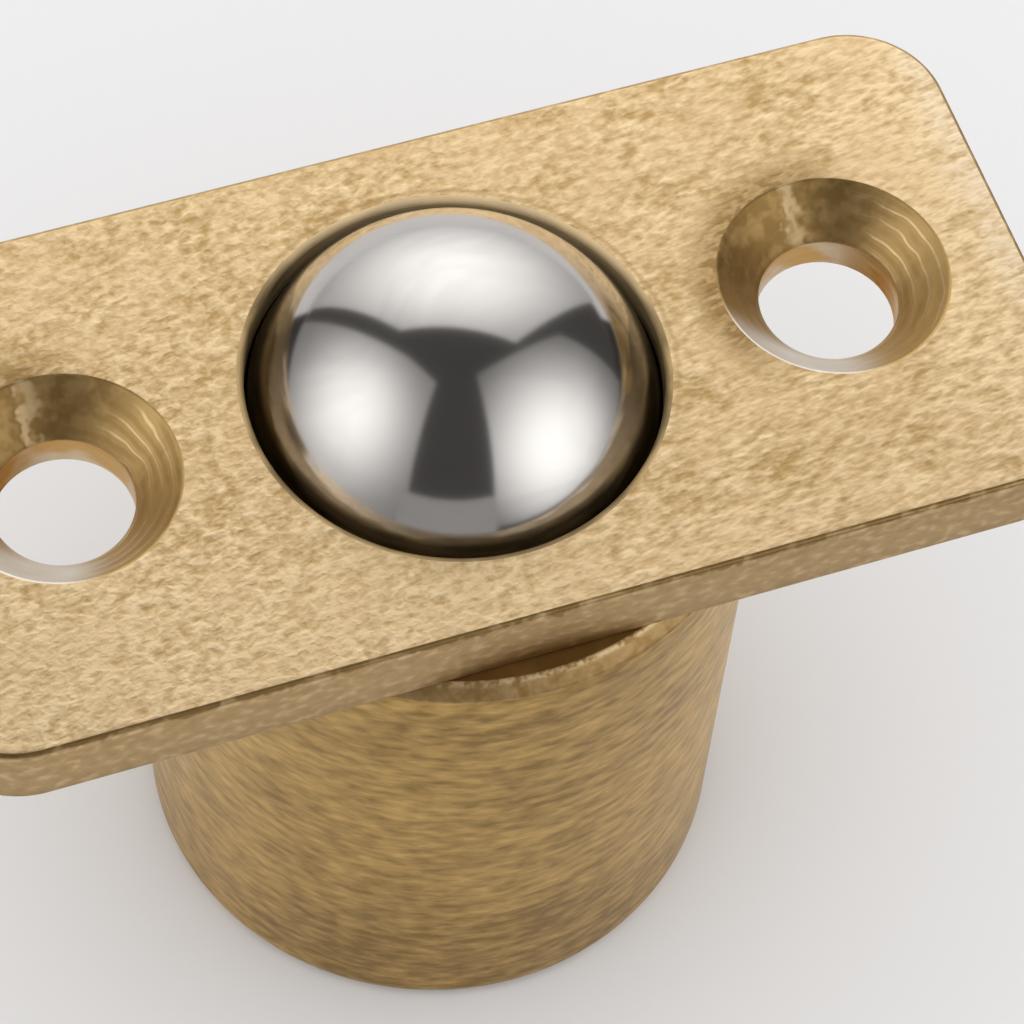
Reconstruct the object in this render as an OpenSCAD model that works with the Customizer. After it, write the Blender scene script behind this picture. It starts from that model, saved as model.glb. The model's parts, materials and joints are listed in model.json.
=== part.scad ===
// Ball catch: a sprung steel ball in a turned brass barrel, kept in by a brass face plate.
// It stands on the barrel's foot, with z = 0 at the foot and the plate's length along X.

/* [Face plate] */
// Length of the face plate
plate_length = 33.5; // [32:0.1:40]
// Width of the face plate
plate_width = 16; // [15.2:0.1:17.2]
// Thickness of the face plate
plate_thickness = 2.3; // [2.1:0.1:2.8]
// Radius of the plate's corners seen from above
plate_corner_r = 2.75; // [1.5:0.25:4]
// Small bevel on the plate's top and bottom edges
plate_edge_bevel = 0.12; // [0.05:0.01:0.3]

/* [Screw holes] */
// Distance between the two screw holes
screw_spacing = 22.6; // [21.6:0.2:24]
// Diameter of the screw's clearance hole
screw_hole_d = 4; // [3.2:0.1:4.4]
// Diameter of the countersink at the plate's face
countersink_d = 6.6; // [6:0.1:7]
// Depth at which the countersink meets the straight hole
countersink_depth = 1.3; // [0.9:0.1:1.4]

/* [Ball and its opening] */
// Diameter of the ball
ball_d = 12; // [11.5:0.1:12.2]
// Overlap of the plate's lip over the ball, on the radius
lip_overlap = 0.15; // [0.1:0.05:0.25]
// Depth of the lip's lower edge, where the ball is caught
lip_depth = 0.9; // [0.8:0.05:1]
// Rounding of the opening's edge at the plate's face
opening_round = 0.15; // [0.1:0.05:0.3]

/* [Barrel] */
// Outer diameter of the barrel
barrel_d = 17.8; // [17.2:0.1:20]
// Length of the barrel from the plate's underside to the foot
barrel_length = 19.6; // [16:0.1:22]
// Thickness of the barrel's closed end
floor_thickness = 2; // [1.5:0.25:2.25]
// Bevel on the shoulder under the plate
shoulder_bevel = 0.4; // [0.2:0.05:0.6]
// Rounding of the foot's edge
foot_round = 0.7; // [0.4:0.1:1.2]
// Wall of the thin neck that is pressed into the plate
neck_wall = 0.8; // [0.6:0.1:0.9]
// Height of the neck above the shoulder
neck_height = 0.9; // [0.6:0.1:1]

/* [Spring] */
// Diameter of the spring's wire
wire_d = 0.9; // [0.6:0.05:0.9]
// Outer diameter of the spring
spring_d = 9; // [8:0.2:10]
// Turns between the two closed ends
active_turns = 4; // [3:0.5:4]
// Part of the wire that is ground flat at the foot of the spring
ground_depth = 0.25; // [0.1:0.05:0.3]

/* [Fits] */
// Radial clearance of the ball in the bore
ball_clearance = 0.08; // [0.05:0.01:0.1]
// Gap between the resting ball and the lip
seat_gap = 0.05; // [0.03:0.01:0.08]
// Gap between the neck's end and the top of its recess
neck_end_gap = 0.1; // [0.05:0.05:0.15]
// Gap between the ball and the spring's end coil
spring_gap = 0.05; // [0.03:0.01:0.1]
// Gap between neighbouring wires in a closed end
coil_gap = 0.05; // [0.03:0.01:0.1]

/* [Hidden] */

smooth = 96;
wire_sides = 12;
steps_per_turn = 28;
through = 1;

// plate, from the foot up
plate_bottom = barrel_length;
plate_top = plate_bottom + plate_thickness;
corner_x = plate_length / 2 - plate_corner_r;
corner_y = plate_width / 2 - plate_corner_r;

// opening, lip and bore
ball_r = ball_d / 2;
opening_r = ball_r - lip_overlap;
mouth_r = opening_r + opening_round;
bore_r = ball_r + ball_clearance;
lip_z = plate_top - lip_depth;

// the ball rests under the lip's lower edge, a seat gap away from it
seat_reach = ball_r + seat_gap;
ball_z = lip_z - sqrt(seat_reach * seat_reach - opening_r * opening_r);

// neck of the barrel and the plate's recess for it
barrel_r = barrel_d / 2;
neck_r = bore_r + neck_wall;
recess_top = plate_bottom + neck_height + neck_end_gap;

// spring between the barrel's floor and the ball
wire_r = wire_d / 2;
coil_r = spring_d / 2 - wire_r;
spring_reach = ball_r + wire_r + spring_gap;
spring_low = floor_thickness + wire_r - ground_depth;
spring_high = ball_z - sqrt(spring_reach * spring_reach - coil_r * coil_r);
closed_rise = wire_d + coil_gap;
total_turns = active_turns + 2;
active_rise = spring_high - spring_low - 2 * closed_rise;

// height of the wire's middle after so many turns: the first and last turn lie closed
function coil_z(turn) =
    turn < 1 ? spring_low + closed_rise * turn
    : turn > total_turns - 1 ? spring_high - closed_rise * (total_turns - turn)
    : spring_low + closed_rise + active_rise * (turn - 1) / active_turns;

// one ring of points around the wire, square to the coil
function wire_ring(turn) =
    let (angle = 360 * turn, z = coil_z(turn))
    [for (i = [0 : wire_sides - 1])
        let (a = 360 * i / wire_sides, r = coil_r + wire_r * cos(a))
        [r * cos(angle), r * sin(angle), z + wire_r * sin(a)]];

// right half of the plate's section, at so much from its middle, with both edges bevelled
function half_section(half) = [
    [0, plate_bottom],
    [half - plate_edge_bevel, plate_bottom],
    [half, plate_bottom + plate_edge_bevel],
    [half, plate_top - plate_edge_bevel],
    [half - plate_edge_bevel, plate_top],
    [0, plate_top]];

// a bar along X with the plate's section
module plate_bar(length, half) {
    rotate([90, 0, 90])
        linear_extrude(length, center = true)
            for (side = [0, 1])
                mirror([side, 0]) polygon(half_section(half));
}

module plate_blank() {
    plate_bar(2 * corner_x, plate_width / 2);
    rotate([0, 0, 90]) plate_bar(2 * corner_y, plate_length / 2);
    for (sx = [-1, 1], sy = [-1, 1])
        translate([sx * corner_x, sy * corner_y])
            rotate_extrude($fn = smooth) polygon(half_section(plate_corner_r));
}

module screw_hole() {
    widening = (countersink_d - screw_hole_d) / countersink_depth;
    translate([0, 0, plate_bottom - through])
        cylinder(plate_thickness + 2 * through, d = screw_hole_d, $fn = smooth);
    translate([0, 0, plate_top - countersink_depth])
        cylinder(countersink_depth + through, d1 = screw_hole_d,
            d2 = countersink_d + widening * through, $fn = smooth);
}

// the opening with its rounded mouth, the ball's bore and the recess for the neck
module plate_opening() {
    rotate_extrude($fn = smooth) {
        square([opening_r, plate_top + through]);
        square([bore_r, lip_z]);
        square([neck_r, recess_top]);
        difference() {
            translate([0, plate_top - opening_round]) square([mouth_r, opening_round + through]);
            translate([mouth_r, plate_top - opening_round]) circle(opening_round, $fn = smooth);
        }
    }
}

module face_plate() {
    color("goldenrod")
        difference() {
            plate_blank();
            plate_opening();
            for (side = [-1, 1])
                translate([side * screw_spacing / 2, 0]) screw_hole();
        }
}

// half section of the solid barrel: rounded foot, bevelled shoulder and neck
module barrel_section() {
    square([barrel_r - foot_round, plate_bottom]);
    translate([barrel_r - foot_round, foot_round]) circle(foot_round, $fn = smooth);
    polygon([
        [0, foot_round],
        [barrel_r, foot_round],
        [barrel_r, plate_bottom - shoulder_bevel],
        [barrel_r - shoulder_bevel, plate_bottom],
        [0, plate_bottom]]);
    square([neck_r, plate_bottom + neck_height]);
}

module barrel() {
    color("darkgoldenrod")
        rotate_extrude($fn = smooth)
            difference() {
                barrel_section();
                translate([0, floor_thickness]) square([bore_r, plate_top]);
            }
}

// wire swept along the helix, its foot ground flat on the barrel's floor
module spring() {
    rings = round(total_turns * steps_per_turn);
    points = [for (k = [0 : rings]) each wire_ring(total_turns * k / rings)];
    sides = [for (k = [0 : rings - 1], i = [0 : wire_sides - 1])
        let (j = (i + 1) % wire_sides, a = k * wire_sides, b = a + wire_sides)
        [a + i, b + i, b + j, a + j]];
    first_end = [for (i = [0 : wire_sides - 1]) i];
    last_end = [for (i = [wire_sides - 1 : -1 : 0]) rings * wire_sides + i];
    color("silver")
        intersection() {
            polyhedron(points, concat(sides, [first_end, last_end]));
            translate([0, 0, floor_thickness]) cylinder(plate_top, r = bore_r);
        }
}

module ball() {
    color("gainsboro")
        translate([0, 0, ball_z]) sphere(ball_r, $fn = smooth);
}

face_plate();
barrel();
spring();
ball();
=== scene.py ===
"""Ball catch: a sprung steel ball in a turned brass barrel, kept in by a sanded brass face plate.

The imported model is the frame. Each operator makes one piece as a surface worked out with numpy, in metres
and in the model's own place, gives it its finish and lets it stand for one of the model's solids.
"""

import json
import math
from typing import NamedTuple

import bpy
import numpy as np
from bpy.props import FloatProperty, FloatVectorProperty, IntProperty, PointerProperty
from mathutils import Matrix, Vector


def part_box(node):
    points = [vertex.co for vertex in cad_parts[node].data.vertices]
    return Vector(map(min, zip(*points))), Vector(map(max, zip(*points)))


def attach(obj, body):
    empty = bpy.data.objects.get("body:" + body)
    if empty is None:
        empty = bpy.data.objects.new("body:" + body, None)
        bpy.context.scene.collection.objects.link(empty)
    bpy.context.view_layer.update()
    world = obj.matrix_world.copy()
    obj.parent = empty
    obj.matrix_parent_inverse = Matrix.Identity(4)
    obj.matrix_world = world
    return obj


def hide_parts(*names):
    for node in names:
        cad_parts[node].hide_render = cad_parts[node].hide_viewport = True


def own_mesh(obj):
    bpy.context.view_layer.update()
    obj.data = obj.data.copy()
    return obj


bl_info = {
    "name": "Ball catch",
    "version": (1, 0, 0),
    "blender": (4, 5, 0),
    "location": "View3D > Sidebar > Ball catch",
    "description": "Makes the pieces of a sprung ball catch, their finishes and a plain stage",
    "category": "Add Mesh",
}

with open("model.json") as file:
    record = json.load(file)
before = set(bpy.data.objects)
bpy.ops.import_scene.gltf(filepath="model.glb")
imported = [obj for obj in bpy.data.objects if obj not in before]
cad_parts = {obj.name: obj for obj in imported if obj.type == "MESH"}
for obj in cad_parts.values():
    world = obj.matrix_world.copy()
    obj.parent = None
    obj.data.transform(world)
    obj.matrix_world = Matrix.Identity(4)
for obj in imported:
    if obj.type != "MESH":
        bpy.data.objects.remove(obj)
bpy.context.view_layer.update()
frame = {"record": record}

PLATE_LOW, PLATE_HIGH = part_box("face_plate")
BARREL_LOW, BARREL_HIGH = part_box("barrel")
BALL_LOW, BALL_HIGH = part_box("ball")
SPRING_LOW, SPRING_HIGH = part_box("spring")
SCREWS = next(mount["dims"] for mount in frame["record"]["mounts"] if mount["name"] == "screw_holes")

MM = 0.001
# Points that are nearer to each other than this become one
WELD = 1e-9
# Steps round a turned surface, and round one turn of the spring
ROUND_STEPS = 256
COIL_STEPS = 56
# Regions of the plate's surface, in the order of its materials
FACE, HOLE_WALL, UNDERSIDE, SIDE, LIP_WALL = range(5)


def length(title, note, default):
    """A length in metres for a property group."""
    return FloatProperty(
        name=title, description=note, default=default, min=0.0, unit="LENGTH", precision=5
    )


def shift(title, note, default):
    """A length in metres that may be negative, for a property group."""
    return FloatProperty(name=title, description=note, default=default, unit="LENGTH", precision=5)


def angle_in_degrees(title, note, degrees):
    """An angle for a property group."""
    return FloatProperty(name=title, description=note, default=math.radians(degrees), subtype="ANGLE")


def amount(title, note, default):
    """A plain number for a property group, not below zero."""
    return FloatProperty(name=title, description=note, default=default, min=0.0)


def paint(title, note, default):
    """A linear colour for a property group."""
    return FloatVectorProperty(
        name=title, description=note, default=default, size=3, min=0.0, max=1.0, subtype="COLOR"
    )


class CatchSizes(bpy.types.PropertyGroup):
    """Sizes of the catch, in metres."""

    plate_half_length: length("Plate half length", "From the middle to the plate's end", PLATE_HIGH.x)
    plate_half_width: length("Plate half width", "From the middle to the plate's long edge", PLATE_HIGH.y)
    plate_bottom: length("Plate underside", "Height of the plate's underside", PLATE_LOW.z)
    plate_top: length("Plate face", "Height of the plate's face", PLATE_HIGH.z)
    plate_corner: length("Corner radius", "Radius of the plate's corners", 2.75 * MM)
    plate_edge: length("Edge break", "Rounding of the plate's edges", 0.12 * MM)
    screw_half_spacing: length(
        "Screw half spacing", "From the middle to a screw hole", SCREWS["spacing_x_mm"] / 2 * MM
    )
    screw_hole: length("Screw hole radius", "Radius of the straight screw hole", SCREWS["hole_r_mm"] * MM)
    countersink: length("Countersink radius", "Radius of the countersink at the face", 3.3 * MM)
    countersink_depth: length("Countersink depth", "Where the cone meets the straight hole", 1.3 * MM)
    opening: length("Opening radius", "Radius of the lip that keeps the ball in", 5.85 * MM)
    opening_round: length("Opening rounding", "Rounding of the opening at the face", 0.2 * MM)
    lip_depth: length("Lip depth", "Depth of the lip's lower edge", 0.9 * MM)
    bore: length("Bore radius", "Radius of the ball's bore", 6.08 * MM)
    neck: length("Neck radius", "Radius of the barrel's neck in the plate", 6.88 * MM)
    recess_depth: length("Recess depth", "Depth of the neck's recess from the underside", 1.0 * MM)
    barrel: length("Barrel radius", "Outer radius of the barrel", BARREL_HIGH.y)
    neck_top: length("Neck end", "Height of the neck's upper end", BARREL_HIGH.z)
    barrel_floor: length("Barrel floor", "Height of the bore's floor", SPRING_LOW.z)
    shoulder_bevel: length("Shoulder bevel", "Bevel of the shoulder under the plate", 0.4 * MM)
    foot_round: length("Foot rounding", "Rounding of the foot's edge", 0.7 * MM)
    ball: length("Ball radius", "Radius of the ball", (BALL_HIGH.z - BALL_LOW.z) / 2)
    ball_height: length("Ball height", "Height of the ball's middle", (BALL_HIGH.z + BALL_LOW.z) / 2)
    wire: length("Wire radius", "Radius of the spring's wire", 0.45 * MM)
    coil: length("Coil radius", "Radius of the spring at the wire's middle", 4.05 * MM)
    coil_top: length("Coil top", "Height of the spring's upper side", SPRING_HIGH.z)
    ground: length("Ground foot", "Depth ground off the spring's foot", 0.25 * MM)
    turns: IntProperty(name="Turns", description="Turns of the spring, with its ends", default=6, min=3)


class CatchFinish(bpy.types.PropertyGroup):
    """Colours of the finishes, in linear light."""

    face_light: paint("Face light", "Cream crests of the sanded face", (0.88, 0.68, 0.405))
    face_rose: paint("Face rose", "Rosy patches of the sanded face", (0.73, 0.52, 0.285))
    face_dark: paint("Face dark", "Olive hollows of the sanded face", (0.52, 0.345, 0.145))
    speck: paint("Smears", "Brown smears on the sanded face", (0.34, 0.215, 0.085))
    edge_brass: paint("Edge brass", "Sides of the plate", (0.54, 0.37, 0.175))
    # A ragged dark line along the plate's front top edge
    dark_edge_line: paint("Burr", "Ragged line on the plate's upper edge", (0.27, 0.165, 0.055))
    hole_brass: paint("Hole brass", "Countersinks", (0.54, 0.365, 0.155))
    # Painted light: the brighter right side of a countersink
    hole_lit_side: paint("Hole side", "Brighter right side of a countersink", (0.63, 0.43, 0.175))
    hole_dark: paint("Hole dark", "Dark rings in the countersinks", (0.26, 0.16, 0.05))
    # Painted reflection on a countersink's near lip; also paints the face paler at its right end
    pale_cream: paint("Hole lip", "Pale near lip of a countersink", (0.95, 0.91, 0.84))
    hole_wall: paint("Hole wall", "Straight walls of the screw holes", (0.74, 0.60, 0.42))
    hole_amber: paint("Hole amber", "Amber patches in the screw holes", (0.66, 0.41, 0.15))
    lip_wall: paint("Lip wall", "Walls of the ball's opening", (0.50, 0.35, 0.16))
    barrel_light: paint("Barrel light", "Bright lines round the barrel", (0.69, 0.445, 0.135))
    barrel_dark: paint("Barrel dark", "Dark lines round the barrel", (0.27, 0.155, 0.027))
    # Darkened as painted shade of the plate over the shoulder; also the bevel's base
    shoulder: paint("Shoulder", "Dull shoulder under the plate", (0.40, 0.25, 0.09))
    steel: paint("Ball steel", "Polished steel of the ball", (0.66, 0.645, 0.63))
    # Painted shade and painted reflection of the dark gap, on the ball near the lip
    lip_shade: paint("Grease", "Dark ring on the ball near the lip", (0.11, 0.08, 0.04))
    wire: paint("Wire", "Drawn steel of the spring", (0.42, 0.41, 0.40))


class CatchStage(bpy.types.PropertyGroup):
    """The camera, the floor and the light panels."""

    azimuth: angle_in_degrees("Azimuth", "Camera's turn about Z", -23.967)
    elevation: angle_in_degrees("Elevation", "Camera's height above the horizon", 58.711)
    roll: angle_in_degrees("Roll", "Camera's turn about its own axis", 5.653)
    distance: length("Distance", "From the camera to the plate's face along its axis", 113.611 * MM)
    aside: shift("Aside", "Camera's shift to its right", 1.569 * MM)
    above: shift("Above", "Camera's shift upwards", -3.832 * MM)
    lens: amount("Lens", "Focal length in millimetres", 144.32)
    floor: paint("Floor", "Pale matt floor", (0.80, 0.80, 0.81))
    surround: amount("Surround", "Glow of the dark room beyond the panels", 0.068)
    table: paint("Table", "Dark table that the metal mirrors at the sides", (0.03, 0.028, 0.026))
    back_table: paint("Back table", "Grey table under the back panel", (0.66, 0.64, 0.63))
    card: paint("Front card", "Grey card in front", (0.42, 0.405, 0.40))
    panel_distance: length("Panel distance", "Unit of the panels' and the lamp's places", 0.25)
    panel_light: amount("Panel light", "Strength of a panel at its brightest", 1.47)
    fill_power: amount("Fill", "Power of the lamp that fills the floor, in watts", 6.8)


class Value:
    """A shader socket: arithmetic on it adds Math nodes, and node() adds any other node."""

    def __init__(self, tree, socket=None):
        self.tree, self.socket = tree, socket

    def node(self, kind, settings, inputs, output=0):
        """Adds a node, sets its settings, then its sockets' values or links, and gives one output back."""
        made = self.tree.nodes.new(kind)
        for key, setting in settings.items():
            setattr(made, key, setting)
        for key, given in inputs.items():
            if isinstance(given, Value):
                self.tree.links.new(given.socket, made.inputs[key])
            else:
                made.inputs[key].default_value = given
        return Value(self.tree, made.outputs[output])

    def maths(self, operation, first, second=0.0):
        """Math of two numbers; some operations use only the first."""
        return self.node("ShaderNodeMath", {"operation": operation}, {0: first, 1: second})

    def vector(self, operation, other=(0.0, 0.0, 0.0), output=0):
        """Vector Math on this place; a length or distance is the output named Value."""
        return self.node("ShaderNodeVectorMath", {"operation": operation}, {0: self, 1: other}, output)

    def __add__(self, other):
        return self.maths("ADD", self, other)

    def __sub__(self, other):
        return self.maths("SUBTRACT", self, other)

    def __rsub__(self, other):
        return self.maths("SUBTRACT", other, self)

    def __mul__(self, other):
        return self.maths("MULTIPLY", self, other)

    def __pow__(self, other):
        return self.maths("POWER", self, other)

    def __rpow__(self, other):
        return self.maths("POWER", other, self)

    __radd__ = __add__
    __rmul__ = __mul__


def colour(values):
    """A colour socket's four numbers."""
    return (*values, 1.0)


def darker(values, share):
    """A colour with only a share of its light."""
    return tuple(share * part for part in values)


def millimetres(start, x=1.0, y=1.0, z=1.0):
    """Object coordinates in millimetres, scaled by so much along each axis."""
    place = start.node("ShaderNodeTexCoord", {}, {}, "Object")
    return place.vector("MULTIPLY", (x / MM, y / MM, z / MM))


def along(place, axis):
    """One coordinate of a place."""
    return place.node("ShaderNodeSeparateXYZ", {}, {0: place}, axis)


def slanted(place, x, y):
    """How far a place lies along the level direction (x, y)."""
    return along(place, "X") * x + along(place, "Y") * y


def from_axis(place):
    """How far a place lies from the Z axis."""
    return place.vector("MULTIPLY", (1.0, 1.0, 0.0)).vector("LENGTH", output="Value")


def grain(place, scale, detail=2.0, rough=0.5, twist=0.0):
    """Noise from 0 to 1, about 0.5, with so many grains to a unit of its place."""
    inputs = {"Vector": place, "Scale": scale, "Detail": detail, "Roughness": rough, "Distortion": twist}
    return place.node("ShaderNodeTexNoise", {}, inputs)


def ease(value, low, high):
    """0 below low, 1 above high and a smooth step between; the other way round where low is the greater."""
    inputs = {"Value": value, "From Min": low, "From Max": high}
    return value.node("ShaderNodeMapRange", {"interpolation_type": "SMOOTHSTEP"}, inputs)


def tint(first, second, share):
    """The first colour, with a share of the second mixed in."""
    ends = [end if isinstance(end, Value) else colour(end) for end in (first, second)]
    return share.node("ShaderNodeMix", {"data_type": "RGBA"}, {0: share, 6: ends[0], 7: ends[1]}, 2)


def finish(name, metal, rough, base, height, depth):
    """A metal finish: base colour and roughness as given, with a relief of so many metres."""
    material = bpy.data.materials[name]
    shader = material.node_tree.nodes["Principled BSDF"]
    shader.inputs["Metallic"].default_value = metal
    link = material.node_tree.links.new
    for socket, given in (("Base Color", base), ("Roughness", rough)):
        if isinstance(given, Value):
            link(given.socket, shader.inputs[socket])
        else:
            shader.inputs[socket].default_value = given
    relief = height.node("ShaderNodeBump", {}, {"Strength": 1.0, "Distance": depth, "Height": height})
    link(relief.socket, shader.inputs["Normal"])
    return material


def blank(name):
    """A new node material of this name and the start of its expressions."""
    material = bpy.data.materials.new(name)
    material.use_nodes = True
    return Value(material.node_tree)


def hole_smear(place, middle_x, radius):
    """1 on the back left of a countersink's rim, falling to 0 in little more than a millimetre."""
    offset = place.vector("SUBTRACT", (middle_x, 0.0, 0.0))
    back_left = slanted(offset, -1.0, 0.7)
    return ease(from_axis(offset), radius + 1.3, radius) * ease(back_left, 0.0, 3.0)


def sanded_face(colours, sizes):
    """Sanded brass face: fine wandering crests that are drawn out into streaks towards the right.

    Rosy patches lie over them. Brown smears lie behind the countersinks and beside the ball's opening;
    painted light makes the front and the right lighter, and the face is paler towards its right end, on the
    crests.
    """
    start = blank("sanded_brass_face")
    place = millimetres(start)
    skewed = start.node("ShaderNodeMapping", {}, {"Vector": place, "Rotation": (0.0, 0.0, -0.16)})
    crests = grain(skewed.vector("MULTIPLY", (0.72, 1.0, 1.0)), 4.5, twist=0.25)
    streaks = grain(skewed.vector("MULTIPLY", (0.42, 1.0, 1.0)), 5.0, detail=1.0)
    patches = grain(place, 0.45, detail=3.0, rough=0.6)
    drawn = ease(slanted(place, 1.0, -0.4), -6.0, 12.0)
    lines = crests * (0.75 - drawn * 0.35) + streaks * (0.25 + drawn * 0.35)

    # front and right are painted light: they make the face lighter towards its front and towards its right
    front = ease(slanted(place, 0.3, 1.0), -2.0, -9.0)
    right = ease(along(place, "X"), 10.0, 16.0)
    light = lines * 3.2 - 1.5 + patches * 0.8 + front * 0.3 + right * 0.3
    base = tint(colours.face_dark, colours.face_light, light)
    base = tint(base, colours.face_rose, ease(patches, 0.42, 0.62) * 0.4)
    end = sizes.plate_half_length / MM
    # The face is paler towards its right end, on the crests
    pale_end = ease(along(place, "X") + patches * 2.0, end - 0.6, end + 0.8) * ease(lines, 0.3, 0.6)
    base = tint(base, colours.pale_cream, pale_end * 0.25)

    hole_x, hole_rim = sizes.screw_half_spacing / MM, sizes.countersink / MM
    smear = start.maths("MAXIMUM", hole_smear(place, -hole_x, hole_rim), hole_smear(place, hole_x, hole_rim))
    mouth = (sizes.opening + sizes.opening_round) / MM
    reach = from_axis(place)
    worn = ease(reach, mouth + 0.5, mouth) * ease(slanted(place, 0.6, 1.0), -3.0, 5.0)
    rings = start.maths("SINE", reach * 22.0 + crests * 5.0)
    brown = smear * (0.4 + ease(streaks, 0.35, 0.6) * 0.8) + worn * (0.3 + rings * 0.3)
    base = tint(base, colours.speck, brown)
    return finish("sanded_brass_face", 1.0, 0.47 - lines * 0.1, base, lines, 0.028 * MM)


def plate_edge(colours, top):
    """Plate's sides: fine crests, painted highlights as pale dashes near the top, a ragged dark line on the
    front edge and painted shade lower down.
    """
    start = blank("plate_edge_brass")
    place = millimetres(start)
    crests = grain(millimetres(start, 0.7, 0.7), 3.2, detail=1.0)
    ragged = grain(place, 1.5, rough=0.6)
    drop = top / MM - along(place, "Z")
    front = ease(along(place, "Y"), -1.0, -6.0)
    # A ragged dark line along the front top edge
    notches = ease(drop + (ragged - 0.5) * 1.1, 0.15, 0.02) * front
    # highlight_dashes: painted highlights, pale dashes along the rounded top edge
    highlight_dashes = ease(drop, 0.10, 0.16) * ease(drop, 0.36, 0.24) * ease(ragged, 0.5, 0.62)
    # The last term is painted shade: the side darkens towards the underside
    dark = (1 - crests) * 0.9 - 0.25 + ease(drop, 1.4, 2.3) * 0.25
    base = tint(colours.edge_brass, colours.hole_dark, dark)
    base = tint(base, colours.face_light, ease(crests, 0.5, 0.8) * 0.3 + highlight_dashes * 0.35)
    base = tint(base, colours.dark_edge_line, notches * 0.8)
    return finish("plate_edge_brass", 1.0, 0.45, base, crests, 0.02 * MM)


def bored_hole(colours, sizes):
    """Countersinks with thin rings that the tool left, painted highlight arcs on them, and the straight walls
    under them.

    Painted light brightens a countersink's right side and painted shade darkens its back left; a painted
    highlight streaks across its back and a painted reflection pales its near lip.
    """
    start = blank("bored_hole_brass")
    place = millimetres(start)
    which_end = start.maths("SIGN", along(place, "X"))
    across = along(place, "X") - which_end * (sizes.screw_half_spacing / MM)
    back = across * 0.45 + along(place, "Y") * 0.9
    right = across * 0.9 - along(place, "Y") * 0.45
    bands = grain(millimetres(start, 0.5, 0.5, 0.8), 1.0)
    rings = start.maths("SINE", along(place, "Z") * 19.0 + bands * 9.0)
    mottle = grain(place, 1.5, rough=0.6)

    # Painted light brightens the countersink's right side
    base = tint(colours.hole_brass, colours.hole_lit_side, ease(right, 0.0, 2.6))
    base = tint(base, colours.hole_dark, ease(rings, 0.0, -0.9) * ease(bands, 0.4, 0.6) * 0.3)
    # highlight_arcs: painted highlights on the tool rings, at the right of the countersink
    highlight_arcs = ease(rings, 0.86, 0.98) * ease(right + bands * 6.0, 3.4, 5.0)
    base = tint(base, colours.face_light, highlight_arcs * 0.6)
    # Painted shade darkens the countersink's back left, in patches
    shade = ease(back - right * 0.9, 0.2, 3.2)
    base = tint(base, colours.hole_dark, shade * (0.3 + ease(mottle, 0.38, 0.6) * 0.5))
    # A painted highlight streaks across the countersink's back
    from_highlight = start.maths("ABSOLUTE", right * 0.87 + back * 0.5 + (mottle - 0.5) * 1.6)
    base = tint(base, colours.face_light, ease(from_highlight, 0.3, 0.05) * ease(back, 0.6, 1.4) * mottle)
    # lip_reflection: painted reflection of the bright floor that pales the near lip
    lip_reflection = ease(back, -1.3, -2.4) * ease(right, 2.0, 0.6)
    base = tint(base, colours.pale_cream, lip_reflection * (0.6 + bands * 0.6))

    walls = tint(colours.hole_wall, colours.hole_amber, ease(bands, 0.42, 0.58))
    sunk = (sizes.plate_top - sizes.countersink_depth) / MM
    cone = ease(along(place, "Z"), sunk - 0.03, sunk + 0.03)
    base = tint(walls, base, cone)
    return finish("bored_hole_brass", 1.0, 0.5 - highlight_arcs * 0.1, base, mottle + rings * 0.08, 0.03 * MM)


def lip_wall(colours):
    """Wall of the ball's opening: dull and patchy, with painted light making it paler at the back."""
    start = blank("lip_wall_brass")
    patches = grain(millimetres(start, 0.5, 0.5, 3.0), 1.2)
    base = tint(darker(colours.lip_wall, 0.5), colours.lip_wall, ease(patches, 0.35, 0.65))
    back = slanted(millimetres(start), 0.4, 0.9)
    # Painted light: the wall is paler towards the back
    base = tint(base, colours.face_light, ease(back, 1.5, 5.0) * 0.6)
    return finish("lip_wall_brass", 0.4, 0.5 + patches * 0.1, base, patches, 0.010 * MM)


def turned_barrel(colours):
    """Turned and brushed brass: thin lines and dull patches, with painted shade darkening it in front and
    near the foot.
    """
    start = blank("turned_barrel_brass")
    flecks = grain(millimetres(start, 0.36, 0.36), 3.3, twist=0.2)
    patches = grain(millimetres(start, 0.6, 0.6), 0.35)
    place = millimetres(start)
    # low and front are painted shade: the barrel darkens near its foot and on the side towards the front
    low = ease(along(place, "Z") + (patches - 0.5) * 6.0, 9.0, 0.0)
    front = ease(slanted(place, -0.2, -0.98), 5.0, 9.0)
    dark = flecks * 1.6 - 0.85 + patches * 0.7 + low * 0.2 + front * 0.35
    base = tint(colours.barrel_light, colours.barrel_dark, dark)
    made = finish("turned_barrel_brass", 1.0, 0.4 + flecks * 0.08, base, flecks, 0.022 * MM)
    shader = made.node_tree.nodes["Principled BSDF"]
    shader.inputs["Coat Weight"].default_value = 0.22
    shader.inputs["Coat Roughness"].default_value = 0.3
    return made


def chattered_bevel(colours, sizes):
    """Bevel of the shoulder: mottled and dark with painted shade, with a painted highlight as a broken bright
    line on its upper edge, brightest at the right.
    """
    start = blank("chattered_bevel_brass")
    place = millimetres(start)
    chatter = grain(place, 2.6, rough=0.6)
    drop = (sizes.plate_bottom / MM - along(place, "Z")) * (MM / sizes.shoulder_bevel)
    right = ease(slanted(place, 0.9, -0.4), -3.5, 4.0)
    # highlight_line: painted highlight along the bevel's upper edge, brightest at the right
    upper = ease(drop + (chatter - 0.5) * 0.7, 0.4, 0.15)
    highlight_line = upper * ease(chatter, 0.4, 0.6) * (0.2 + right * 0.65)
    # The dark shoulder colour is painted shade
    base = tint(colours.shoulder, colours.edge_brass, ease(chatter, 0.3, 0.7))
    base = tint(base, colours.face_light, highlight_line)
    return finish("chattered_bevel_brass", 1.0, 0.55, base, chatter, 0.02 * MM)


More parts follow.
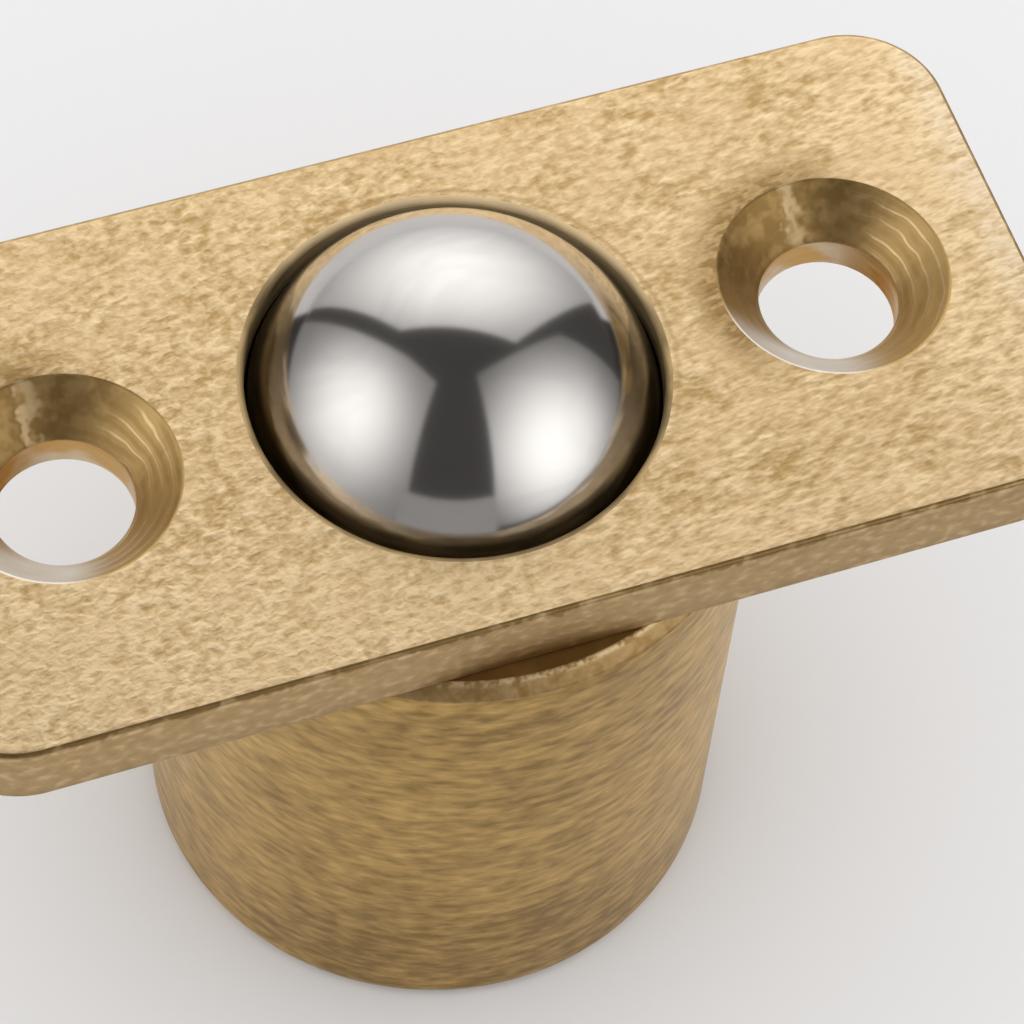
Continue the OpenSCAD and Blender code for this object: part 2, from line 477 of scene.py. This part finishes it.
def dull_shoulder_painted_shade(colours):
    """Shoulder, neck and bore: dull patchy brass, darkened as painted shade where the plate shades it."""
    start = blank("dull_shoulder_brass")
    patches = grain(millimetres(start, 0.5, 0.5, 0.5), 1.6)
    base = tint(darker(colours.shoulder, 0.7), colours.shoulder, ease(patches, 0.35, 0.65))
    return finish("dull_shoulder_brass", 1.0, 0.46 + patches * 0.1, base, patches, 0.010 * MM)


def polished_ball(colours, sizes):
    """Lapped steel: a mirror with faint smears and fine scratches, and a ring of painted shade and painted
    reflection of the dark gap near the lip.
    """
    start = blank("polished_ball_steel")
    place = millimetres(start)
    smears = grain(millimetres(start, 0.5, 0.8), 0.5, rough=0.6, twist=1.0)
    hairs = grain(millimetres(start, 0.2, 0.2), 4.0, detail=1.0)
    beside = slanted(place, 0.91, -0.41)
    ahead = start.maths("ABSOLUTE", slanted(place, 0.41, 0.91))
    rise = along(place, "Z") + ahead * 0.25 + (hairs - 0.5) * 0.4 - sizes.plate_top / MM
    # shade_ring: painted shade and painted reflection of the dark gap, on the ball next to the lip
    shade_ring = ease(rise, 1.55, 1.35) * 0.65 + ease(rise + beside * 0.05, 0.8, 0.5) * 0.35
    base = tint(colours.steel, darker(colours.steel, 0.93), ease(smears, 0.4, 0.7))
    base = tint(base, colours.lip_shade, shade_ring)
    rough = 0.11 + smears * 0.03 + shade_ring * 0.1
    return finish("polished_ball_steel", 1.0, rough, base, hairs, 0.0002 * MM)


def drawn_wire(colours):
    """Drawn spring wire: grey steel with fine lines and oily dark patches."""
    start = blank("drawn_spring_steel")
    lines = grain(millimetres(start, 0.4, 0.4), 5.0)
    patches = grain(millimetres(start), 0.9)
    base = tint(darker(colours.wire, 0.55), colours.wire, ease(patches, 0.3, 0.6))
    return finish("drawn_spring_steel", 1.0, 0.28 + patches * 0.2, base, lines, 0.006 * MM)


def straight(start, end, count):
    """Rows of (radius, height) on the line from start to end."""
    share = np.linspace(0.0, 1.0, count)[:, None]
    return np.array(start) * (1 - share) + np.array(end) * share


def eased(start, corner, end, count=6):
    """Rows on the parabola that leaves start towards the corner and comes to end from it."""
    share = np.linspace(0.0, 1.0, count)[:, None]
    start, corner, end = (np.array(point) for point in (start, corner, end))
    return start * (1 - share) ** 2 + corner * 2 * share * (1 - share) + end * share**2


def arc(middle, radius, first, last, count):
    """Rows on the circle about the middle, from the first angle to the last in degrees."""
    angle = np.radians(np.linspace(first, last, count))[:, None]
    return np.array(middle) + radius * np.concatenate((np.cos(angle), np.sin(angle)), axis=1)


def grid_faces(rows, columns, rows_closed, columns_closed=True):
    """Four-sided faces of a grid whose points are numbered row by row."""
    row = np.arange(rows if rows_closed else rows - 1)[:, None]
    column = np.arange(columns if columns_closed else columns - 1)[None, :]
    here, above = row * columns, (row + 1) % rows * columns
    beside = (column + 1) % columns
    corners = (here + column, here + beside, above + beside, above + column)
    return np.stack(np.broadcast_arrays(*corners), axis=-1)


def turned(rows):
    """A profile carried round Z: the point of row (r, z) at the angle a is (r cos a, r sin a, z)."""
    angle = np.linspace(0.0, 2 * math.pi, ROUND_STEPS, endpoint=False)[None, :]
    radius, height = rows[:, :1], rows[:, 1:]
    parts = np.broadcast_arrays(radius * np.cos(angle), radius * np.sin(angle), height)
    points = np.stack(parts, axis=-1)
    return points.reshape(-1, 3), grid_faces(len(rows), ROUND_STEPS, False).reshape(-1, 4)


def put_object(name, points, faces, materials, region=None, crease=40.0):
    """Welds the points that coincide, makes triangles of the faces at a pole and links a smooth object.

    The region of a face is the number of its material, and an edge sharper than the crease, in degrees, stays
    sharp.
    """
    keys, index = np.unique(np.round(points / WELD).astype(np.int64), axis=0, return_inverse=True)
    faces = index.reshape(-1)[faces]
    region = np.zeros(len(faces), int) if region is None else region
    first, last = faces[:, 0] == faces[:, 1], faces[:, 2] == faces[:, 3]
    whole = ~(first | last)
    polygons = [*faces[whole].tolist(), *faces[first][:, 1:].tolist(), *faces[last][:, :3].tolist()]
    regions = np.concatenate((region[whole], region[first], region[last]))
    mesh = bpy.data.meshes.new(name)
    mesh.from_pydata((keys * WELD).tolist(), [], polygons)
    mesh.polygons.foreach_set("use_smooth", np.ones(len(polygons), bool))
    mesh.polygons.foreach_set("material_index", regions)
    mesh.set_sharp_from_angle(angle=math.radians(crease))
    for material in materials:
        mesh.materials.append(material)
    mesh.update()
    made = bpy.data.objects.new(name, mesh)
    bpy.context.scene.collection.objects.link(made)
    return made


def dress(made, node, body):
    """Lets a piece stand for a solid by hiding the solid, and ride on its body."""
    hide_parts(node)
    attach(made, body)


def plate_end(sizes, parting):
    """Border of the plate's right end, from the front of the parting line round to its back.

    It gives places and outward normals: straight edges, with a quarter circle about each corner's centre,
    drawn in by the edge break.
    """
    inset = sizes.plate_corner - sizes.plate_edge
    middle_x = sizes.plate_half_length - sizes.plate_corner
    middle_y = sizes.plate_half_width - sizes.plate_corner
    quarter = np.radians(np.linspace(-90.0, 0.0, 25))
    run = np.linspace(parting, middle_x, 30, endpoint=False)
    rise = np.linspace(-middle_y, 0.0, 22)[1:]
    turning = np.stack((np.cos(quarter), np.sin(quarter)), axis=1)
    below = np.concatenate((
        np.stack((run, np.full_like(run, -middle_y - inset)), axis=1),
        np.array((middle_x, -middle_y)) + inset * turning,
        np.stack((np.full_like(rise, middle_x + inset), rise), axis=1),
    ))
    facing = np.concatenate((
        np.tile((0.0, -1.0), (len(run), 1)),
        turning,
        np.tile((1.0, 0.0), (len(rise), 1)),
    ))
    mirrored = np.array((1.0, -1.0))
    border = np.concatenate((below, below[-2::-1] * mirrored))
    return border, np.concatenate((facing, facing[-2::-1] * mirrored))


def plate_cell(sizes, border, facing, middle_x, hole):
    """One hole with the plate round it, as a ring that closes on itself.

    A column leaves each border point for the hole's middle: over the face, down the hole's profile, out over
    the underside, and up the side in two quarter rounds. A border point with no normal lies on a parting
    line, and has no side.
    """
    top, bottom, edge = sizes.plate_top, sizes.plate_bottom, sizes.plate_edge
    middle = np.array((middle_x, 0.0))
    away = border - middle
    away = away / np.linalg.norm(away, axis=1)[:, None]
    share = np.array((1.0, 0.985, 0.93, 0.8, 0.6, 0.4, 0.2, 0.07, 0.015))[:, None, None]
    mouth, exit_ring = middle + away * hole[0, 0], middle + away * hole[-1, 0]
    face = mouth + (border - mouth) * share
    walls = middle + away * hole[:, :1, None]
    under = exit_ring + (border - exit_ring) * share[::-1]
    lower = np.radians(np.linspace(90.0, 0.0, 6))[1:]
    upper = np.radians(np.linspace(0.0, 90.0, 6))[:-1]
    swing = np.concatenate((lower, upper))
    side = border + facing * (edge * np.cos(swing))[:, None, None]
    side_z = np.concatenate((bottom + edge - edge * np.sin(lower), top - edge + edge * np.sin(upper)))
    flat = np.concatenate((face, walls, under, side))
    height = np.concatenate((np.full(len(face), top), hole[:, 1], np.full(len(under), bottom), side_z))
    columns = len(border)
    points = np.concatenate((flat, np.repeat(height[:, None, None], columns, axis=1)), axis=2)
    faces = grid_faces(len(flat), columns, True)
    order = (FACE, HOLE_WALL, UNDERSIDE, SIDE)
    count = (len(face), len(walls) - 1, len(under), len(side) + 1)
    region = np.repeat(np.repeat(order, count)[:, None], columns, axis=1)
    outer = np.linalg.norm(facing, axis=1) > 0.5
    kept = (region != SIDE) | (outer & np.roll(outer, -1))[None, :]
    return points.reshape(-1, 3), faces[kept], region[kept]


def plate_surface(sizes):
    """The whole plate: the two ends round a screw hole each, and the middle round the ball's opening."""
    top, bottom = sizes.plate_top, sizes.plate_bottom
    wide, narrow, deep = sizes.countersink, sizes.screw_hole, top - sizes.countersink_depth
    rim_out, rim_in, soft = 0.05 * MM, 0.04 * MM, 0.02 * MM
    screw = np.concatenate((
        eased((wide + rim_out, top), (wide, top), (wide - rim_in, top - rim_in)),
        straight((wide - 2 * rim_in, top - 2 * rim_in), (narrow + soft, deep + soft), 10),
        straight((narrow, deep - soft), (narrow, bottom), 6),
    ))
    lip = top - sizes.lip_depth
    recess = bottom + sizes.recess_depth
    mouth, mouth_z = sizes.opening + sizes.opening_round, top - sizes.opening_round
    under_round = 0.03 * MM
    ball_way = np.concatenate((
        arc((mouth, mouth_z), sizes.opening_round, 90.0, 180.0, 10),
        straight((sizes.opening, mouth_z - under_round), (sizes.opening, lip), 4),
        straight((sizes.bore, lip), (sizes.bore, recess), 2),
        straight((sizes.neck, recess), (sizes.neck, bottom), 3),
    ))
    parting = (mouth + sizes.screw_half_spacing - wide) / 2
    border, facing = plate_end(sizes, parting)
    inner = sizes.plate_half_width - sizes.plate_edge
    seam = np.linspace(-inner, inner, 60)[1:-1]
    seam_up = np.stack((np.full_like(seam, parting), seam), axis=1)
    still = np.zeros_like(seam_up)
    end_border, end_facing = np.concatenate((border, seam_up[::-1])), np.concatenate((facing, still))
    front_x = np.linspace(-parting, parting, 70)
    front = np.stack((front_x, np.full_like(front_x, -inner)), axis=1)
    ahead = np.tile((0.0, -1.0), (len(front), 1))
    middle_border = np.concatenate((front, seam_up, -front, -seam_up))
    middle_facing = np.concatenate((ahead, still, -ahead, still))
    cells = (
        plate_cell(sizes, end_border, end_facing, sizes.screw_half_spacing, screw),
        plate_cell(sizes, -end_border, -end_facing, -sizes.screw_half_spacing, screw),
        plate_cell(sizes, middle_border, middle_facing, 0.0, ball_way),
    )
    starts = np.cumsum([0] + [len(points) for points, _, _ in cells[:-1]])
    points = np.concatenate([points for points, _, _ in cells])
    faces = np.concatenate([faces + start for (_, faces, _), start in zip(cells, starts)])
    right, left, middle = (region for _, _, region in cells)
    middle = np.where(middle == HOLE_WALL, LIP_WALL, middle)
    return points, faces, np.concatenate((right, left, middle))


def barrel_rows(sizes):
    """Half section of the barrel in three parts: foot and outside, bevel, then shoulder, neck and bore."""
    shoulder, outer, foot = sizes.plate_bottom, sizes.barrel, sizes.foot_round
    neck, bore = sizes.neck, sizes.bore
    bevel_low, bevel_in = shoulder - sizes.shoulder_bevel, outer - sizes.shoulder_bevel
    soft = 0.05 * MM
    outside = np.concatenate((
        straight((0.0, 0.0), (outer - foot, 0.0), 8),
        arc((outer - foot, foot), foot, -90.0, 0.0, 10)[1:],
        straight((outer, foot + soft), (outer, bevel_low - soft), 20),
    ))
    slope = np.concatenate((
        eased((outer, bevel_low - soft), (outer, bevel_low), (outer - soft, bevel_low + soft), 4)[1:],
        eased((bevel_in + soft, shoulder - soft), (bevel_in, shoulder), (bevel_in - soft, shoulder), 4),
    ))
    inside = np.concatenate((
        straight((bevel_in - 2 * soft, shoulder), (neck, shoulder), 4),
        straight((neck, sizes.neck_top), (bore, sizes.neck_top), 2),
        straight((bore, sizes.barrel_floor), (0.0, sizes.barrel_floor), 6),
    ))
    return outside, slope, inside


def coil_surface(sizes):
    """Wire swept along a helix, its first and last turn closed and its foot ground flat.

    The wire's middle is at (R cos a, R sin a, z), where z rises steeply between the closed turns; a ring of
    points round the middle lies in the plane of the axis. Each end is closed on its own middle.
    """
    steps, sides = COIL_STEPS * sizes.turns, 20
    turn = np.linspace(0.0, sizes.turns, steps + 1)
    low = sizes.barrel_floor + sizes.wire - sizes.ground
    high = sizes.coil_top - sizes.wire
    coil_gap = 0.05 * MM
    closed = 2 * sizes.wire + coil_gap
    bends = (0.0, 1.0, sizes.turns - 1.0, sizes.turns)
    rise = np.interp(turn, bends, (low, low + closed, high - closed, high))
    round_wire = np.linspace(0.0, 2 * math.pi, sides, endpoint=False)
    thick = np.concatenate(((0.0,), np.full(steps + 1, sizes.wire), (0.0,)))[:, None]
    angle = 2 * math.pi * np.pad(turn, 1, mode="edge")[:, None]
    radius = sizes.coil + thick * np.cos(round_wire)
    height = np.pad(rise, 1, mode="edge")[:, None] + thick * np.sin(round_wire)
    height = np.maximum(height, sizes.barrel_floor)
    points = np.stack((radius * np.cos(angle), radius * np.sin(angle), height), axis=-1)
    faces = grid_faces(steps + 3, sides, False)[..., ::-1]
    return points.reshape(-1, 3), np.roll(faces.reshape(-1, 4), 2, axis=1)


class MakeFacePlate(bpy.types.Operator):
    """Makes the sanded face plate with its countersunk holes and the ball's opening"""

    bl_idname = "ball_catch.make_face_plate"
    bl_label = "Make face plate"

    def execute(self, context):
        sizes, colours = context.scene.catch_sizes, context.scene.catch_finish
        points, faces, region = plate_surface(sizes)
        face = sanded_face(colours, sizes)
        hole, lip = bored_hole(colours, sizes), lip_wall(colours)
        side = plate_edge(colours, sizes.plate_top)
        made = put_object("face_plate_sanded", points, faces, (face, hole, face, side, lip), region)
        dress(made, "face_plate", "housing")
        return {"FINISHED"}


class MakeBarrel(bpy.types.Operator):
    """Makes the turned barrel with its foot, shoulder, neck and bore"""

    bl_idname = "ball_catch.make_barrel"
    bl_label = "Make barrel"

    def execute(self, context):
        sizes, colours = context.scene.catch_sizes, context.scene.catch_finish
        rows = barrel_rows(sizes)
        points, faces = turned(np.concatenate(rows))
        last = np.cumsum([len(part) for part in rows])
        bands = np.searchsorted(last, np.arange(1, last[-1]), side="right")
        materials = (turned_barrel(colours), chattered_bevel(colours, sizes), dull_shoulder_painted_shade(colours))
        made = put_object("barrel_turned", points, faces, materials, np.repeat(bands, ROUND_STEPS))
        dress(made, "barrel", "housing")
        return {"FINISHED"}


class MakeSpring(bpy.types.Operator):
    """Makes the wound spring under the ball"""

    bl_idname = "ball_catch.make_spring"
    bl_label = "Make spring"

    def execute(self, context):
        sizes = context.scene.catch_sizes
        points, faces = coil_surface(sizes)
        made = put_object("spring_wound", points, faces, (drawn_wire(context.scene.catch_finish),))
        dress(made, "spring", "housing")
        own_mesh(made)
        return {"FINISHED"}


class MakeBall(bpy.types.Operator):
    """Makes the polished ball"""

    bl_idname = "ball_catch.make_ball"
    bl_label = "Make ball"

    def execute(self, context):
        sizes, colours = context.scene.catch_sizes, context.scene.catch_finish
        rows = arc((0.0, sizes.ball_height), sizes.ball, -90.0, 90.0, 145)
        rows[[0, -1], 0] = 0.0
        points, faces = turned(rows)
        made = put_object("ball_polished", points, faces, (polished_ball(colours, sizes),))
        dress(made, "ball", "ball")
        return {"FINISHED"}


class PanelShape(NamedTuple):
    """A light panel as seen from the ball, its places given as a turn about Z and a height in degrees."""

    foot: tuple
    top: tuple
    brightest: tuple
    spread: float
    dim: float
    strength: float


# The spread of a panel's brightness is in panel distances, and dim is what is left of it far away
LIGHT_PANELS = {
    "back_panel": PanelShape(
        foot=((28.0, -3.2), (118.0, -3.2)), top=((6.0, 58.0), (126.0, 57.0)),
        brightest=(75.0, 36.0), spread=0.60, dim=0.29, strength=1.06,
    ),
    "left_panel": PanelShape(
        foot=((123.0, -2.0), (230.0, -4.0)), top=((154.0, 66.0), (212.0, 74.0)),
        brightest=(170.0, 25.0), spread=0.45, dim=0.19, strength=1.04,
    ),
    "right_panel": PanelShape(
        foot=((-90.0, -4.0), (0.0, -4.0)), top=((-56.0, 77.0), (10.0, 32.0)),
        brightest=(-42.0, 25.0), spread=0.54, dim=0.11, strength=1.12,
    ),
}
PANEL_POINTS = 9
# Linear colours of a panel's light
PANEL_MIDDLE, PANEL_EDGE = (1.0, 0.985, 0.97), (1.0, 0.97, 0.945)
# In panel distances
PANEL_FOOT_AWAY, PANEL_TOP_AWAY = 1.4, 1.25
LAMP_WIDTH, LAMP_HEIGHT = 6, 1.2
# In metres
FLOOR_REACH = 0.7
CARD_NEAR, CARD_LIFT = 0.05, 0.0002
TABLE_FAR = 0.69
FRONT_CARD_FAR, FRONT_CARD_TOP = 0.2, 0.075


def bearing(turn, rise):
    """Unit vector at a turn about Z and a height above the horizon, both in degrees."""
    turn, rise = np.radians(turn), np.radians(rise)
    return np.array((np.cos(turn) * np.cos(rise), np.sin(turn) * np.cos(rise), np.sin(rise)))


def stage_object(name, points, material):
    """A floor, panel or card that isn't part of the catch, from a grid of points."""
    faces = grid_faces(*points.shape[:2], False, False).reshape(-1, 4)
    made = put_object(name, points.reshape(-1, 3), faces, (material,), crease=80.0)
    return made


def only_mirrored(made):
    """Hides a stage object from the camera and keeps it from lighting or shading the floor."""
    made.visible_camera = made.visible_diffuse = made.visible_shadow = False


def only_shader(name, start, shader):
    """Lets a material consist of this shader alone."""
    start.tree.links.new(shader.socket, start.tree.nodes["Material Output"].inputs["Surface"])
    return bpy.data.materials[name]


def light_panel(name, stage, height, shape):
    """A sheet between four corners: each point is the corners' mean, weighted by its shares across and up."""
    unit = stage.panel_distance
    near, far = (bearing(*corner) * (unit * PANEL_FOOT_AWAY) for corner in shape.foot)
    top_near, top_far = (bearing(*corner) * (unit * PANEL_TOP_AWAY) for corner in shape.top)
    shares = np.linspace(0.0, 1.0, PANEL_POINTS)
    across, up = (share[..., None] for share in np.meshgrid(shares, shares))
    low = near * (1 - across) + far * across
    high = top_near * (1 - across) + top_far * across
    rays = low * (1 - up) + high * up
    points = rays + np.array((0.0, 0.0, height))
    likeness = rays @ bearing(*shape.brightest) / np.linalg.norm(rays, axis=-1)
    brightest = points.reshape(-1, 3)[np.argmax(likeness)]
    place = blank(name).node("ShaderNodeTexCoord", {}, {}, "Object")
    gap = place.vector("DISTANCE", brightest, "Value")
    fall = math.e ** (0 - (gap * (1 / (shape.spread * unit))) ** 2)
    shade = tint(darker(PANEL_EDGE, shape.dim), PANEL_MIDDLE, fall)
    strength = stage.panel_light * shape.strength
    glow = shade.node("ShaderNodeEmission", {}, {"Color": shade, "Strength": strength})
    only_mirrored(stage_object(name, points, only_shader(name, place, glow)))


def fill_lamp(stage):
    """A wide lamp overhead that lights the floor softly from all sides; the metal doesn't mirror it."""
    lamp = bpy.data.lights.new("fill_lamp", "AREA")
    lamp.shape = "DISK"
    lamp.size = LAMP_WIDTH * stage.panel_distance
    lamp.energy = stage.fill_power
    made = bpy.data.objects.new("fill_lamp", lamp)
    bpy.context.scene.collection.objects.link(made)
    made.location = (0.0, 0.0, LAMP_HEIGHT * stage.panel_distance)
    made.visible_camera = made.visible_glossy = False


def matt(name, tone):
    """A plain matt surface."""
    start = blank(name)
    return only_shader(name, start, start.node("ShaderNodeBsdfDiffuse", {}, {"Color": colour(tone)}))


def stage_card(name, away, rise, turns, tone):
    """A matt card that only the metal mirrors, in rows at so much from the axis and so high.

    Each row runs between two turns about Z, in degrees.
    """
    turn = np.radians(turns)[None, :]
    away, rise = away[:, None], rise[:, None]
    points = np.stack(np.broadcast_arrays(away * np.cos(turn), away * np.sin(turn), rise), axis=-1)
    only_mirrored(stage_object(name, points, matt(name, tone)))


def lay_floor(stage):
    """The pale floor that the catch stands on."""
    reach = np.linspace(-FLOOR_REACH, FLOOR_REACH, 15)
    across, up = np.meshgrid(reach, reach)
    points = np.stack((across, up, np.zeros_like(across)), axis=-1)
    stage_object("floor", points, matt("floor_matt", stage.floor))


def lay_cards(stage):
    """Tables round the catch, and a card in front that bends up, for the metal to mirror."""
    away = np.linspace(CARD_NEAR, TABLE_FAR, 6)
    flat = np.full_like(away, CARD_LIFT)
    stage_card("right_table", away, flat, np.linspace(-88.0, 22.0, 17), stage.table)
    stage_card("back_table", away, flat, np.linspace(22.0, 119.0, 17), stage.back_table)
    stage_card("left_table", away, flat, np.linspace(119.0, 226.0, 17), stage.table)
    away = np.concatenate((np.linspace(CARD_NEAR, FRONT_CARD_FAR, 8), np.full(5, FRONT_CARD_FAR)))
    rise = np.concatenate((np.full(8, CARD_LIFT), np.linspace(0.01, FRONT_CARD_TOP, 5)))
    stage_card("front_card", away, rise, np.linspace(-134.0, -88.0, 13), stage.card)


def dark_room(stage):
    """A world with a faint warm glow."""
    world = bpy.data.worlds.new("dark_room")
    world.use_nodes = True
    dusk = darker((1.0, 0.94, 0.90), stage.surround)
    world.node_tree.nodes["Background"].inputs["Color"].default_value = colour(dusk)
    return world


def camera_place(stage, height):
    """The camera's matrix: turned about Z, raised and rolled, set back from the plate's face and aside."""
    flat, rise = stage.azimuth, stage.elevation
    back = Vector((math.sin(flat) * math.cos(rise), -math.cos(flat) * math.cos(rise), math.sin(rise)))
    level = Vector((math.cos(flat), math.sin(flat), 0.0))
    upright = back.cross(level)
    right = math.cos(stage.roll) * level + math.sin(stage.roll) * upright
    above = back.cross(right)
    place = back * stage.distance + right * stage.aside + above * stage.above + Vector((0.0, 0.0, height))
    turn = Matrix((right, above, back)).transposed().to_4x4()
    return Matrix.Translation(place) @ turn


def put_camera(stage, height):
    """The camera at its place, with its lens."""
    lens = bpy.data.cameras.new("camera")
    lens.sensor_width, lens.lens, lens.clip_start = 36.0, stage.lens, 0.001
    camera = bpy.data.objects.new("camera", lens)
    bpy.context.scene.collection.objects.link(camera)
    camera.matrix_world = camera_place(stage, height)
    return camera


class MakeStage(bpy.types.Operator):
    """Makes the floor, the light panels, the dark room round them and the camera"""

    bl_idname = "ball_catch.make_stage"
    bl_label = "Make stage"

    def execute(self, context):
        scene, stage, sizes = context.scene, context.scene.catch_stage, context.scene.catch_sizes
        lay_floor(stage)
        lay_cards(stage)
        for name, shape in LIGHT_PANELS.items():
            light_panel(name, stage, sizes.ball_height, shape)
        fill_lamp(stage)
        scene.world = dark_room(stage)
        scene.camera = put_camera(stage, sizes.plate_top)
        scene.view_settings.view_transform = "Standard"
        return {"FINISHED"}


class CatchPanel(bpy.types.Panel):
    """Lists the catch's sizes, colours and makers"""

    bl_idname = "VIEW3D_PT_ball_catch"
    bl_label = "Ball catch"
    bl_space_type = "VIEW_3D"
    bl_region_type = "UI"
    bl_category = "Ball catch"

    def draw(self, context):
        for operator in OPERATORS:
            self.layout.operator(operator.bl_idname)
        for name in GROUPS:
            group = getattr(context.scene, name)
            box = self.layout.box()
            for key in group.__annotations__:
                box.prop(group, key)


GROUPS = {"catch_sizes": CatchSizes, "catch_finish": CatchFinish, "catch_stage": CatchStage}
OPERATORS = (MakeFacePlate, MakeBarrel, MakeSpring, MakeBall, MakeStage)


def register():
    for kind in (*GROUPS.values(), *OPERATORS, CatchPanel):
        bpy.utils.register_class(kind)
    for name, kind in GROUPS.items():
        setattr(bpy.types.Scene, name, PointerProperty(type=kind))


def unregister():
    for name in GROUPS:
        delattr(bpy.types.Scene, name)
    for kind in (CatchPanel, *reversed(OPERATORS), *GROUPS.values()):
        bpy.utils.unregister_class(kind)


def main():
    register()
    makers = bpy.ops.ball_catch
    makers.make_face_plate()
    makers.make_barrel()
    makers.make_spring()
    makers.make_ball()
    makers.make_stage()


if __name__ == "__main__":
    main()
